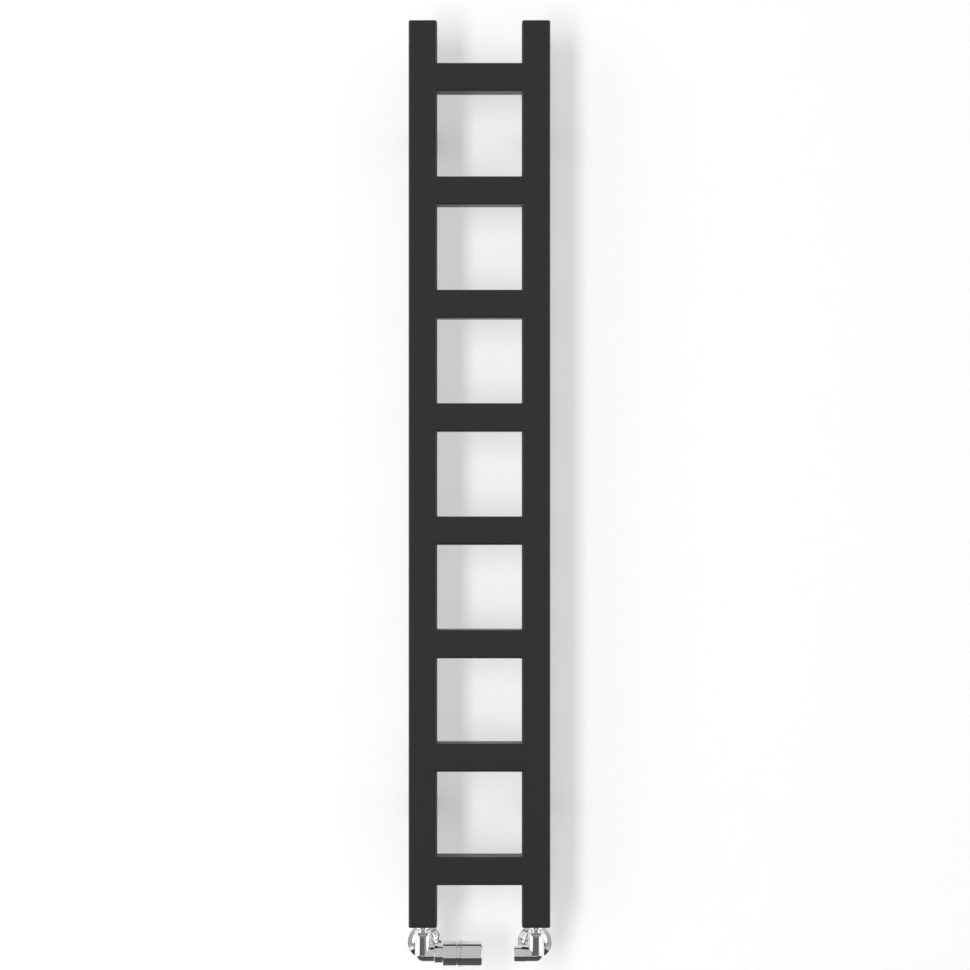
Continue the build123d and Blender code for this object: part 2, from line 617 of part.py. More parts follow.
# Thermostatic insert: seat disc on a spring-loaded spindle
DISC_START = HEAD_SEAT + SEAT_CLEARANCE + PLUNGER_TRAVEL
DISC_END = DISC_START + DISC_LENGTH
FLANGE_END = DISC_END + SPINDLE_FLANGE
INSERT_START = FLANGE_END + PLUNGER_TRAVEL + STOP_CLEARANCE
SPRING_SEAT = INSERT_START + INSERT_FLOOR
SPRING_END = SPRING_SEAT + SPRING_LENGTH
HEAD_START = BODY_REACH + COLLAR_LENGTH + HEAD_GROOVE
STUB_START = HEAD_START - NECK_STUB
BOSS_END = STUB_START - RUNNING_FIT
GLAND_START = BOSS_END - GLAND_LENGTH
SPINDLE_END = BOSS_END + SPINDLE_SHOW
SPINDLE_RADIUS = SPINDLE_DIA / 2
INSERT_RADIUS = CHAMBER_RADIUS - THREAD_FIT
CHAMBER_BORE = SPRING_CHAMBER_DIA / 2
COLLAR_BORE = COLLAR_DIA / 2 - COLLAR_WALL
INSERT_BOSS_RADIUS = COLLAR_BORE - INSERT_FLANGE / 3
INSERT_RING_STATION = (INSERT_START + BODY_REACH) / 2

with BuildPart() as valve_insert:
    rod(HEAD_PLANE, INSERT_START, BODY_REACH, INSERT_RADIUS)
    rod(HEAD_PLANE, BODY_REACH, BODY_REACH + INSERT_FLANGE, COLLAR_BORE - RUNNING_FIT)
    rod(HEAD_PLANE, BODY_REACH + INSERT_FLANGE, BOSS_END, INSERT_BOSS_RADIUS)
    bore(HEAD_PLANE, INSERT_START, SPRING_SEAT, SPINDLE_RADIUS + RUNNING_FIT)
    bore(HEAD_PLANE, SPRING_SEAT, BOSS_END, CHAMBER_BORE)
    with BuildSketch(HEAD_PLANE.offset(INSERT_RING_STATION - SMALL_RING_SECTION / 2)):
        Circle(INSERT_RADIUS + SMALL_RING_SECTION)
        Circle(INSERT_RADIUS - SMALL_RING_SECTION, mode=Mode.SUBTRACT)
    extrude(amount=SMALL_RING_SECTION, mode=Mode.SUBTRACT)
keep(valve_insert, "valve_insert")

with BuildPart() as insert_ring:
    rubber_ring(
        HEAD_PLANE, INSERT_RING_STATION, INSERT_RADIUS - SMALL_RING_SECTION, SMALL_RING_SECTION
    )
keep(insert_ring, "insert_ring")

with BuildPart() as insert_gland:
    rod(HEAD_PLANE, GLAND_START, BOSS_END, CHAMBER_BORE - THREAD_FIT)
    bore(HEAD_PLANE, GLAND_START, BOSS_END, SPINDLE_RADIUS + RUNNING_FIT)
keep(insert_gland, "insert_gland")

with BuildPart() as valve_disc:
    rod(HEAD_PLANE, DISC_START, DISC_END, DISC_DIA / 2)
keep(valve_disc, "valve_disc")

with BuildPart() as valve_spindle:
    rod(HEAD_PLANE, DISC_END, FLANGE_END, DISC_DIA / 2)
    rod(HEAD_PLANE, FLANGE_END, SPINDLE_END, SPINDLE_RADIUS)
    rod(HEAD_PLANE, SPRING_END, SPRING_END + SPRING_COLLAR, SPRING_COLLAR_DIA / 2)
keep(valve_spindle, "valve_spindle")

# Spindle spring: half turns that are tilted half circles, so each runs smoothly into the next
COIL_RADIUS = (SPRING_DIA - SPRING_WIRE) / 2
COIL_PITCH = (SPRING_LENGTH - SPRING_WIRE - 2 * RUNNING_FIT) / SPRING_TURNS
HALF_TURN_RISE = COIL_PITCH / 2
HALF_TURN_RADIUS = sqrt(COIL_RADIUS**2 + (HALF_TURN_RISE / 2) ** 2)
COIL_START = SPRING_SEAT + RUNNING_FIT + SPRING_WIRE / 2

with BuildPart() as spindle_spring:
    with BuildLine(HEAD_PLANE) as coil:
        for half_turn in range(2 * SPRING_TURNS):
            way = 1 if half_turn % 2 == 0 else -1
            rise = COIL_START + half_turn * HALF_TURN_RISE
            ThreePointArc(
                (way * COIL_RADIUS, 0, rise),
                (0, way * HALF_TURN_RADIUS, rise + HALF_TURN_RISE / 2),
                (-way * COIL_RADIUS, 0, rise + HALF_TURN_RISE),
            )
    with BuildSketch(Plane(coil.line @ 0, z_dir=coil.line % 0)):
        Circle(SPRING_WIRE / 2)
    sweep()
keep(spindle_spring, "spindle_spring")
print(f"spring turns lie {COIL_PITCH - SPRING_WIRE:.2f} mm apart")

# Thermostatic head: collar nut, base, core, sensor and knob
HEAD_RADIUS = HEAD_DIA / 2
CORE_START = HEAD_START + BASE_PLATE
BASE_END = HEAD_START + BASE_LENGTH
BASE_BORE = HEAD_RADIUS - BASE_WALL
KNOB_START = BASE_END + KNOB_GROOVE
KNOB_SHOULDER = KNOB_START + KNOB_LENGTH
KNOB_BORE = HEAD_RADIUS - KNOB_WALL
KNOB_BORE_END = KNOB_SHOULDER - KNOB_ROOF
CORE_END = KNOB_BORE_END - CORE_CLEARANCE
SENSOR_BORE_END = CORE_END - CORE_ROOF
SENSOR_START = CORE_START + SENSOR_STANDOFF
SENSOR_END = SENSOR_BORE_END - SENSOR_ROOM
STUB_RADIUS = INSERT_BOSS_RADIUS - RUNNING_FIT
PIN_RADIUS = PIN_DIA / 2
PIN_HOLE = PIN_RADIUS + PIN_CLEARANCE
SKIRT_START = BASE_END + LOOSE_FIT

with BuildPart() as head_collar_nut:
    rod(HEAD_PLANE, BODY_REACH, BODY_REACH + COLLAR_LENGTH, COLLAR_DIA / 2)
    chamfer(rims(head_collar_nut, COLLAR_DIA / 2), COLLAR_BREAK)
    bore(HEAD_PLANE, BODY_REACH, BODY_REACH + INSERT_FLANGE, COLLAR_BORE)
    bore(
        HEAD_PLANE,
        BODY_REACH + INSERT_FLANGE,
        BODY_REACH + COLLAR_LENGTH,
        INSERT_BOSS_RADIUS + RUNNING_FIT,
    )
keep(head_collar_nut, "head_collar_nut")

with BuildPart() as head_base:
    rod(HEAD_PLANE, HEAD_START, BASE_END, HEAD_RADIUS)
    fillet(rims(head_base, HEAD_RADIUS), HEAD_ROUND)
    rod(HEAD_PLANE, STUB_START, HEAD_START, STUB_RADIUS)
    bore(HEAD_PLANE, CORE_START, BASE_END, BASE_BORE)
    bore(HEAD_PLANE, STUB_START, CORE_START, PIN_HOLE)
keep(head_base, "head_base")

with BuildPart() as head_core:
    rod(HEAD_PLANE, CORE_START, BASE_END - BASE_PLATE, BASE_BORE - RUNNING_FIT)
    rod(HEAD_PLANE, BASE_END - BASE_PLATE, CORE_END, KNOB_BORE - KNOB_CLEARANCE)
    bore(HEAD_PLANE, CORE_START, SENSOR_BORE_END, SENSOR_DIA / 2 + RUNNING_FIT)
keep(head_core, "head_core")

with BuildPart() as sensor_capsule:
    rod(HEAD_PLANE, SENSOR_START, SENSOR_END, SENSOR_DIA / 2)
    rod(HEAD_PLANE, SPINDLE_END, SENSOR_START, PIN_RADIUS)
keep(sensor_capsule, "sensor_capsule")

with BuildPart() as control_knob:
    knob_section = Plane(HEAD_PLANE.origin, x_dir=(1, 0, 0), z_dir=(0, -1, 0))
    with BuildSketch(knob_section) as knob_profile:
        with BuildLine():
            dome_edge = (KNOB_SHOULDER, HEAD_RADIUS)
            Polyline(
                (KNOB_SHOULDER + KNOB_DOME, 0),
                (KNOB_BORE_END, 0),
                (KNOB_BORE_END, KNOB_BORE),
                (SKIRT_START, KNOB_BORE),
                (SKIRT_START, HEAD_RADIUS - KNOB_GROOVE_DEPTH),
                (KNOB_START, HEAD_RADIUS - KNOB_GROOVE_DEPTH),
                (KNOB_START, HEAD_RADIUS),
                dome_edge,
            )
            TangentArc((KNOB_SHOULDER + KNOB_DOME, 0), dome_edge, tangent=(0, 1))
        make_face()
        shoulder = knob_profile.vertices().group_by(Axis.Y)[-1].sort_by(Axis.X)
        fillet(shoulder[-1], KNOB_SHOULDER_ROUND)
        fillet(shoulder[0], HEAD_ROUND)
    revolve(axis=Axis(HEAD_PLANE.origin, (1, 0, 0)))
keep(control_knob, "control_knob")

# Lockshield: a plug on a spindle that turns in its place, under a plain cap
LOCK_FLANGE_END = LOCK_REACH + LOCK_FLANGE
LOCK_BOSS_END = LOCK_FLANGE_END + LOCK_BOSS_LENGTH
LOCK_CAP_START = LOCK_REACH + LOOSE_FIT
LOCK_CAP_END = LOCK_CAP_START + LOCK_CAP_LENGTH
LOCK_CAP_BORE = LOCK_CAP_DIA / 2 - LOCK_FLANGE_WALL
LOCK_FLANGE_RADIUS = LOCK_CAP_BORE - LOOSE_FIT
LOCK_BOSS_RADIUS = LOCK_FLANGE_RADIUS - LOCK_BOSS_STEP
PLUG_START = LOCK_SEAT + SEAT_CLEARANCE + PLUNGER_TRAVEL
PLUG_END = PLUG_START + PLUG_LENGTH
PLUG_SOCKET = PLUG_START + PLUG_FACE
TIP_START = PLUG_SOCKET + PLUNGER_TRAVEL + LOOSE_FIT
THRUST_START = PLUG_END + PLUNGER_TRAVEL + LOOSE_FIT
THRUST_END = THRUST_START + LOCK_THRUST_LENGTH
GUIDE_RADIUS = PLUG_DIA / 2 + RUNNING_FIT
SHAFT_RADIUS = LOCK_SHAFT_DIA / 2
LOCK_RING_STATION = (THRUST_END + LOCK_BOSS_END) / 2

with BuildPart() as lockshield_insert:
    rod(LOCK_PLANE, LOCK_REACH - LOCK_INSERT_ENGAGED, LOCK_REACH, CHAMBER_RADIUS - THREAD_FIT)
    rod(LOCK_PLANE, LOCK_REACH, LOCK_FLANGE_END, LOCK_FLANGE_RADIUS)
    rod(LOCK_PLANE, LOCK_FLANGE_END, LOCK_BOSS_END, LOCK_BOSS_RADIUS)
    bore(LOCK_PLANE, LOCK_REACH - LOCK_INSERT_ENGAGED, THRUST_END + RUNNING_FIT, GUIDE_RADIUS)
    bore(LOCK_PLANE, THRUST_END, LOCK_BOSS_END, SHAFT_RADIUS + RUNNING_FIT)
keep(lockshield_insert, "lockshield_insert")

with BuildPart() as lockshield_plug:
    rod(LOCK_PLANE, PLUG_START, PLUG_END, PLUG_DIA / 2)
    bore(LOCK_PLANE, PLUG_SOCKET, PLUG_END, LOCK_TIP_DIA / 2 + RUNNING_FIT)
keep(lockshield_plug, "lockshield_plug")

with BuildPart() as lockshield_spindle:
    rod(LOCK_PLANE, TIP_START, THRUST_START, LOCK_TIP_DIA / 2)
    rod(LOCK_PLANE, THRUST_START, THRUST_END, LOCK_THRUST_DIA / 2)
    rod(LOCK_PLANE, THRUST_END, LOCK_BOSS_END, SHAFT_RADIUS)
    with BuildSketch(LOCK_PLANE.offset(LOCK_BOSS_END)):
        RegularPolygon(SHAFT_RADIUS, 6)
    extrude(amount=LOCK_KEY_LENGTH)
    with BuildSketch(LOCK_PLANE.offset(LOCK_RING_STATION - LOCK_RING_SECTION / 2)):
        Circle(SHAFT_RADIUS + LOCK_RING_SECTION)
        Circle(SHAFT_RADIUS - LOCK_RING_SECTION, mode=Mode.SUBTRACT)
    extrude(amount=LOCK_RING_SECTION, mode=Mode.SUBTRACT)
keep(lockshield_spindle, "lockshield_spindle")

with BuildPart() as spindle_ring:
    rubber_ring(LOCK_PLANE, LOCK_RING_STATION, SHAFT_RADIUS - LOCK_RING_SECTION, LOCK_RING_SECTION)
keep(spindle_ring, "spindle_ring")

with BuildPart() as lockshield_cap:
    rod(LOCK_PLANE, LOCK_CAP_START, LOCK_CAP_END, LOCK_CAP_DIA / 2)
    fillet(rims(lockshield_cap, LOCK_CAP_DIA / 2).sort_by(Axis.X)[0], LOCK_CAP_ROUND)
    bore(LOCK_PLANE, LOCK_CAP_START, LOCK_FLANGE_END + LOOSE_FIT, LOCK_CAP_BORE)
    bore(LOCK_PLANE, LOCK_CAP_START, LOCK_BOSS_END + LOOSE_FIT, LOCK_BOSS_RADIUS + LOOSE_FIT)
    bore(LOCK_PLANE, LOCK_CAP_START, LOCK_CAP_END - LOCK_CAP_ROOF, LOCK_THRUST_DIA / 2)
keep(lockshield_cap, "lockshield_cap")
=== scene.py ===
"""Dresses the narrow wall-hung towel warmer rack and sets it in front of a white wall.

All sizes are metres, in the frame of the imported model: +X is to the right as seen from
the room, +Y goes into the wall, +Z is up, and the face of the wall is the plane y = 0.
"""

from __future__ import annotations

import json
import logging
import math
from dataclasses import dataclass, field
from enum import Enum
from typing import Iterable, Sequence, Union

import bmesh
import bpy
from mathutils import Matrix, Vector


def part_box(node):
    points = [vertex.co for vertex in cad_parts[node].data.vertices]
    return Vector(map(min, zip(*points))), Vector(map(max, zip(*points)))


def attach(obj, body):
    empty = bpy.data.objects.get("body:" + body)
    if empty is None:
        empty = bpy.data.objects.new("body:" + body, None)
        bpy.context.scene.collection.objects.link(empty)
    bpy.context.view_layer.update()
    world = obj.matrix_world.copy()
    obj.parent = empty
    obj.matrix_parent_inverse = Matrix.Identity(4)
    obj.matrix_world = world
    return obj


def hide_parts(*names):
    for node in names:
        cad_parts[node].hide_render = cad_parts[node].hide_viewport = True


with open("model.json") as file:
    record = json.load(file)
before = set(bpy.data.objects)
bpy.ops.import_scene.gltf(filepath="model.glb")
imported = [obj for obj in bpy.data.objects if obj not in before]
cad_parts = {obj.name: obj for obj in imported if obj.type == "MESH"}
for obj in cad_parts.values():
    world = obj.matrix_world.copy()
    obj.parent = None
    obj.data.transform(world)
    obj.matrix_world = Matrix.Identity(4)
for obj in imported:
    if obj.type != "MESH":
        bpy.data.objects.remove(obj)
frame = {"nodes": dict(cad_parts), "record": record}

LOG = logging.getLogger("towel_rack")
NOISE_MEAN = 0.5

Colour = tuple[float, float, float]
Setting = Union[str, int, float, bool, Sequence]


class Axis(Enum):
    """The axis that a turned piece was turned about."""

    X = "X"
    Y = "Y"
    Z = "Z"


class Value:
    """A node socket that takes part in Python arithmetic."""

    def __init__(self, graph: Graph, socket: bpy.types.NodeSocket) -> None:
        """Wraps one output socket of a graph."""
        self.graph = graph
        self.socket = socket

    def _math(self, operation: str, first: Operand, second: Operand) -> Value:
        """Adds a Math node.

        Args:
            operation: the Math node's operation.
            first: the upper operand.
            second: the lower operand.

        Returns:
            The node's result.
        """
        sockets = {"Value": first, "Value_001": second}
        return self.graph.add("ShaderNodeMath", {"operation": operation}, sockets)

    def __add__(self, other: Operand) -> Value:
        """Returns self + other."""
        return self._math("ADD", self, other)

    def __radd__(self, other: Operand) -> Value:
        """Returns other + self."""
        return self._math("ADD", other, self)

    def __sub__(self, other: Operand) -> Value:
        """Returns self - other."""
        return self._math("SUBTRACT", self, other)

    def __rsub__(self, other: Operand) -> Value:
        """Returns other - self."""
        return self._math("SUBTRACT", other, self)

    def __mul__(self, other: Operand) -> Value:
        """Returns self * other."""
        return self._math("MULTIPLY", self, other)

    def __rmul__(self, other: Operand) -> Value:
        """Returns other * self."""
        return self._math("MULTIPLY", other, self)

    def __mod__(self, other: Operand) -> Value:
        """Returns self modulo other."""
        return self._math("MODULO", self, other)

    def __gt__(self, other: Operand) -> Value:
        """Returns 1 where self is greater than other, else 0."""
        return self._math("GREATER_THAN", self, other)

    def maximum(self, other: Operand) -> Value:
        """Returns the greater of self and other."""
        return self._math("MAXIMUM", self, other)


Operand = Union[Value, float]
SocketInput = Union[Value, float, int, tuple, bpy.types.ID]


class Graph:
    """A node tree that is written node by node."""

    def __init__(self, tree: bpy.types.NodeTree) -> None:
        """Empties a tree and takes it over."""
        self.tree = tree
        tree.nodes.clear()

    @staticmethod
    def _find(sockets: Iterable[bpy.types.NodeSocket], key: str) -> bpy.types.NodeSocket:
        """Finds a socket.

        Args:
            sockets: a node's inputs or outputs.
            key: the socket's identifier, or else its name.

        Returns:
            The socket.
        """
        found = [s for s in sockets if s.identifier == key] or [s for s in sockets if s.name == key]
        return found[0]

    def add(
        self,
        kind: str,
        settings: dict[str, Setting] | None = None,
        sockets: dict[str, SocketInput] | None = None,
        output: str = "",
    ) -> Value:
        """Adds one node.

        Args:
            kind: the node's type.
            settings: its properties, and "stops" for a colour ramp's (place, colour) pairs.
            sockets: values or links for its inputs, by identifier or name.
            output: the output that is wanted, or the first one.

        Returns:
            That output, or an empty value for a node with none.
        """
        node = self.tree.nodes.new(kind)
        for name, setting in (settings or {}).items():
            if name == "stops":
                self._set_stops(node.color_ramp, setting)
            else:
                setattr(node, name, setting)
        for key, value in (sockets or {}).items():
            target = self._find(node.inputs, key)
            if isinstance(value, Value):
                self.tree.links.new(value.socket, target)
            else:
                target.default_value = value
        if not node.outputs:
            return Value(self, None)
        return Value(self, self._find(node.outputs, output) if output else node.outputs[0])

    @staticmethod
    def _set_stops(ramp: bpy.types.ColorRamp, stops: Sequence[tuple[float, Colour]]) -> None:
        """Writes a ramp's stops.

        Args:
            ramp: a colour ramp with its two first stops.
            stops: places and colours, from left to right.
        """
        while len(ramp.elements) < len(stops):
            ramp.elements.new(0.5)
        for element, (place, colour) in zip(ramp.elements, stops):
            element.position = place
            element.color = (*colour, 1.0)


class Shading(Graph):
    """The node tree of one material."""

    def __init__(self, name: str) -> None:
        """Makes an empty material of that name."""
        self.material = bpy.data.materials.new(name)
        self.material.use_nodes = True
        super().__init__(self.material.node_tree)

    def place(self) -> Value:
        """Returns the point's place in metres."""
        return self.add("ShaderNodeTexCoord", output="Object")

    def noise(self, size: float, detail: float = 2.0, stretch: Colour = (1.0, 1.0, 1.0)) -> Value:
        """Adds noise of a real size.

        Args:
            size: about how wide one fleck is.
            detail: how many finer layers it has.
            stretch: how many times finer it is along each axis.

        Returns:
            The noise, about NOISE_MEAN on average.
        """
        scale = tuple(1.0 / size * times for times in stretch)
        point = self.add("ShaderNodeMapping", {}, {"Vector": self.place(), "Scale": scale})
        sockets = {"Vector": point, "Scale": 1.0, "Detail": detail}
        return self.add("ShaderNodeTexNoise", {}, sockets, "Fac")

    def tint(self, factor: Value, dark: Colour, light: Colour) -> Value:
        """Mixes two colours.

        Args:
            factor: 0 for dark, 1 for light.
            dark: the first colour.
            light: the second colour.

        Returns:
            The mixed colour.
        """
        sockets = {"Factor_Float": factor, "A_Color": (*dark, 1.0), "B_Color": (*light, 1.0)}
        return self.add("ShaderNodeMix", {"data_type": "RGBA"}, sockets, "Result_Color")

    def bump(self, height: Value, depth: float) -> Value:
        """Turns a height into a bumped normal.

        Args:
            height: the height, from 0 to 1.
            depth: the depth in metres that 1 stands for.

        Returns:
            The normal.
        """
        return self.add("ShaderNodeBump", {}, {"Height": height, "Strength": 1.0, "Distance": depth})


def shade(colour: Colour, factor: float) -> Colour:
    """Returns a colour made lighter or darker by a factor."""
    return tuple(min(1.0, channel * factor) for channel in colour)


def grey(level: float) -> Colour:
    """Returns the grey of a level."""
    return level, level, level


@dataclass(frozen=True)
class Finish:
    """A finish that becomes one material."""

    name: str
    colour: Colour
    roughness: float

    def sockets(self, shading: Shading) -> dict[str, SocketInput]:
        """Returns the inputs of the finish's surface."""
        raise NotImplementedError

    def material(self) -> bpy.types.Material:
        """Returns the finish's material, which is made at the first call."""
        made = bpy.data.materials.get(self.name)
        if made:
            return made
        shading = Shading(self.name)
        surface = shading.add("ShaderNodeBsdfPrincipled", {}, self.sockets(shading))
        shading.add("ShaderNodeOutputMaterial", {}, {"Surface": surface})
        return shading.material


@dataclass(frozen=True)
class PowderCoat(Finish):
    """A baked powder coat: fine orange peel and a faint mottle in colour and gloss."""

    mottle: float = 0.08
    mottle_size: float = 0.035
    peel_size: float = 0.0014
    peel_depth: float = 0.000022
    gloss_spread: float = 0.08

    def sockets(self, shading: Shading) -> dict[str, SocketInput]:
        """Returns the inputs of the finish's surface."""
        cloud = shading.noise(self.mottle_size, detail=3.0)
        peel = shading.noise(self.peel_size, detail=1.0)
        return {
            "Base Color": shading.tint(
                cloud, shade(self.colour, 1.0 - self.mottle), shade(self.colour, 1.0 + self.mottle)
            ),
            "Roughness": self.roughness + (cloud - NOISE_MEAN) * self.gloss_spread,
            "Normal": shading.bump(peel, self.peel_depth),
        }


@dataclass(frozen=True)
class BrightPlate(Finish):
    """Bright plating: a mirror with faint wiping marks."""

    wipe_size: float = 0.018
    wipe_tone: float = 0.985
    gloss_spread: float = 0.03

    def sockets(self, shading: Shading) -> dict[str, SocketInput]:
        """Returns the inputs of the finish's surface."""
        wiped = shading.noise(self.wipe_size, detail=4.0)
        return {
            "Base Color": shading.tint(wiped, shade(self.colour, self.wipe_tone), self.colour),
            "Metallic": 1.0,
            "Roughness": self.roughness + wiped * self.gloss_spread,
        }


@dataclass(frozen=True)
class TurnedMetal(Finish):
    """Bare turned metal with fine tool marks round its axis."""

    axis: Axis = Axis.X
    mark_pitch: float = 0.00025
    mark_depth: float = 0.000004
    mark_stretch: float = 0.02
    tarnish: float = 0.14
    tarnish_size: float = 0.006
    gloss_spread: float = 0.2

    def sockets(self, shading: Shading) -> dict[str, SocketInput]:
        """Returns the inputs of the finish's surface."""
        stretch = tuple(1.0 if axis is self.axis else self.mark_stretch for axis in Axis)
        marks = shading.noise(self.mark_pitch, stretch=stretch)
        stain = shading.noise(self.tarnish_size, detail=4.0)
        return {
            "Base Color": shading.tint(stain, shade(self.colour, 1.0 - self.tarnish), self.colour),
            "Metallic": 1.0,
            "Roughness": self.roughness + (marks - NOISE_MEAN) * self.gloss_spread,
            "Normal": shading.bump(marks, self.mark_depth),
        }


@dataclass(frozen=True)
class MouldedPart(Finish):
    """Moulded rubber or plastic with a fine grain."""

    grain_size: float = 0.0004
    grain_depth: float = 0.000008
    blotch: float = 0.08
    blotch_size: float = 0.007
    gloss_spread: float = 0.12

    def sockets(self, shading: Shading) -> dict[str, SocketInput]:
        """Returns the inputs of the finish's surface."""
        blotches = shading.noise(self.blotch_size, detail=3.0)
        grain = shading.noise(self.grain_size)
        return {
            "Base Color": shading.tint(
                blotches, shade(self.colour, 1.0 - self.blotch), shade(self.colour, 1.0 + self.blotch)
            ),
            "Roughness": self.roughness + (grain - NOISE_MEAN) * self.gloss_spread,
            "Normal": shading.bump(grain, self.grain_depth),
        }


@dataclass(frozen=True)
class PressedFibre(Finish):
    """A pressed fibre washer with flecks of its felted threads."""

    fleck_size: float = 0.0006
    fleck_stretch: Colour = (1.0, 1.0, 0.3)
    fleck_depth: float = 0.00003
    fleck_tones: tuple[float, float] = (0.6, 1.5)
    gloss_spread: float = 0.1

    def sockets(self, shading: Shading) -> dict[str, SocketInput]:
        """Returns the inputs of the finish's surface."""
        flecks = shading.noise(self.fleck_size, detail=5.0, stretch=self.fleck_stretch)
        dark, light = (shade(self.colour, tone) for tone in self.fleck_tones)
        return {
            "Base Color": shading.tint(flecks, dark, light),
            "Roughness": self.roughness + (flecks - NOISE_MEAN) * self.gloss_spread,
            "Normal": shading.bump(flecks, self.fleck_depth),
        }


FRAME_PAINT = PowderCoat("graphite powder coat", (0.0165, 0.0165, 0.0167), 0.44)
DIAL_INK = MouldedPart("dial ink", (0.018, 0.018, 0.019), 0.5)
SLOT_FINISHES: dict[str, Finish] = {
    "frame_paint": FRAME_PAINT,
    "plain_steel": TurnedMetal("plain turned steel", (0.52, 0.52, 0.53), 0.36),
    "chrome": BrightPlate("bright chrome plate", (0.89, 0.893, 0.9), 0.03),
    "brass": TurnedMetal("turned brass", (0.78, 0.56, 0.25), 0.27),
    "stainless": TurnedMetal("ground stainless steel", (0.63, 0.62, 0.6), 0.25),
    "black_rubber": MouldedPart("moulded black rubber", (0.021, 0.021, 0.021), 0.62),
    "fibre": PressedFibre("red fibre", (0.24, 0.085, 0.05), 0.78),
    "core_plastic": MouldedPart("moulded white plastic", (0.78, 0.78, 0.76), 0.4),
}
CROSSWISE_FINISHES: dict[str, Finish] = {
    "bleed_screw": TurnedMetal("ground stainless screw", (0.63, 0.62, 0.6), 0.25, axis=Axis.Y),
    "olives": TurnedMetal("turned brass olive", (0.78, 0.56, 0.25), 0.27, axis=Axis.Y),
    "connection_sockets": TurnedMetal("turned steel socket", (0.52, 0.52, 0.53), 0.36, axis=Axis.Z),
}


class Skin:
    """A closed mesh that is lofted from loops of points."""

    def __init__(self) -> None:
        """Starts an empty mesh."""
        self.mesh = bmesh.new()

    def loop(self, points: Sequence[Vector]) -> list[bmesh.types.BMVert]:
        """Returns new vertices at the points."""
        return [self.mesh.verts.new(point) for point in points]

    def bridge(self, first: list[bmesh.types.BMVert], second: list[bmesh.types.BMVert]) -> None:
        """Joins two loops of as many vertices with a band of faces.

        Args:
            first: one closed loop.
            second: the next closed loop.
        """
        for place in range(len(first)):
            corners = (first[place - 1], first[place], second[place], second[place - 1])
            self.mesh.faces.new(corners)

    def loft(self, loops: Sequence[Sequence[Vector]], closed: bool = False) -> None:
        """Lofts a body through loops.

        Args:
            loops: the loops, each with as many points.
            closed: True where the last loop joins the first, else both ends are capped.
        """
        rings = [self.loop(points) for points in loops]
        for first, second in zip(rings, rings[1:]):
            self.bridge(first, second)
        if closed:
            self.bridge(rings[-1], rings[0])
        else:
            self.mesh.faces.new(rings[0])
            self.mesh.faces.new(rings[-1])

    def finish(self, name: str, sharp_angle: float = math.radians(40)) -> bpy.types.Object:
        """Turns the mesh into an object.

        Args:
            name: the object's name.
            sharp_angle: edges that turn by more than this stay sharp.

        Returns:
            The object, in the scene.
        """
        bmesh.ops.recalc_face_normals(self.mesh, faces=self.mesh.faces)
        data = bpy.data.meshes.new(name)
        for face in self.mesh.faces:
            face.smooth = True
        self.mesh.to_mesh(data)
        self.mesh.free()
        data.set_sharp_from_angle(angle=sharp_angle)
        piece = bpy.data.objects.new(name, data)
        bpy.context.scene.collection.objects.link(piece)
        return piece


class Pattern(Graph):
    """A Geometry Nodes tree that repeats a piece's own mesh."""

    def __init__(self, name: str) -> None:
        """Makes an empty tree of that name."""
        super().__init__(bpy.data.node_groups.new(name, "GeometryNodeTree"))
        self.identifiers: dict[str, str] = {}
        self._declare("Unit", "NodeSocketGeometry")
        self.tree.interface.new_socket("Geometry", in_out="OUTPUT", socket_type="NodeSocketGeometry")

    def _declare(self, name: str, kind: str) -> None:
        """Adds a named input of a socket type."""
        socket = self.tree.interface.new_socket(name, in_out="INPUT", socket_type=kind)
        self.identifiers[name] = socket.identifier

    def entry(self, name: str, kind: str = "NodeSocketFloat") -> Value:
        """Returns a named input, which is declared at its first use."""
        if name not in self.identifiers:
            self._declare(name, kind)
        return self.add("NodeGroupInput", output=self.identifiers[name])

    def close(self, instances: Value) -> Pattern:
        """Ends the tree.

        Args:
            instances: the placed copies.

        Returns:
            The tree itself.
        """
        real = self.add("GeometryNodeRealizeInstances", {}, {"Geometry": instances})
        material = self.entry("Finish", "NodeSocketMaterial")
        dressed = self.add("GeometryNodeSetMaterial", {}, {"Geometry": real, "Material": material})
        self.add("NodeGroupOutput", {}, {"Geometry": dressed})
        return self

    def bake(self, piece: bpy.types.Object, values: dict[str, SocketInput]) -> None:
        """Repeats a piece's mesh and keeps the result as its plain mesh.

        Args:
            piece: the piece, whose mesh is one unit.
            values: the tree's inputs by name.
        """
        modifier = piece.modifiers.new(self.tree.name, "NODES")
        modifier.node_group = self.tree
        for name, value in values.items():
            modifier[self.identifiers[name]] = value
        graph = bpy.context.evaluated_depsgraph_get()
        baked = bpy.data.meshes.new_from_object(piece.evaluated_get(graph))
        baked.name = piece.name
        piece.modifiers.remove(modifier)
        piece.data = baked


def row_pattern() -> Pattern:
    """Returns a tree that repeats a unit a number of times along a straight line."""
    pattern = Pattern("row")
    count = pattern.entry("Count", "NodeSocketInt")
    step = pattern.entry("Step", "NodeSocketVector")
    line = pattern.add("GeometryNodeMeshLine", {"mode": "OFFSET"}, {"Count": count, "Offset": step})
    sockets = {"Points": line, "Instance": pattern.entry("Unit")}
    return pattern.close(pattern.add("GeometryNodeInstanceOnPoints", {}, sockets))


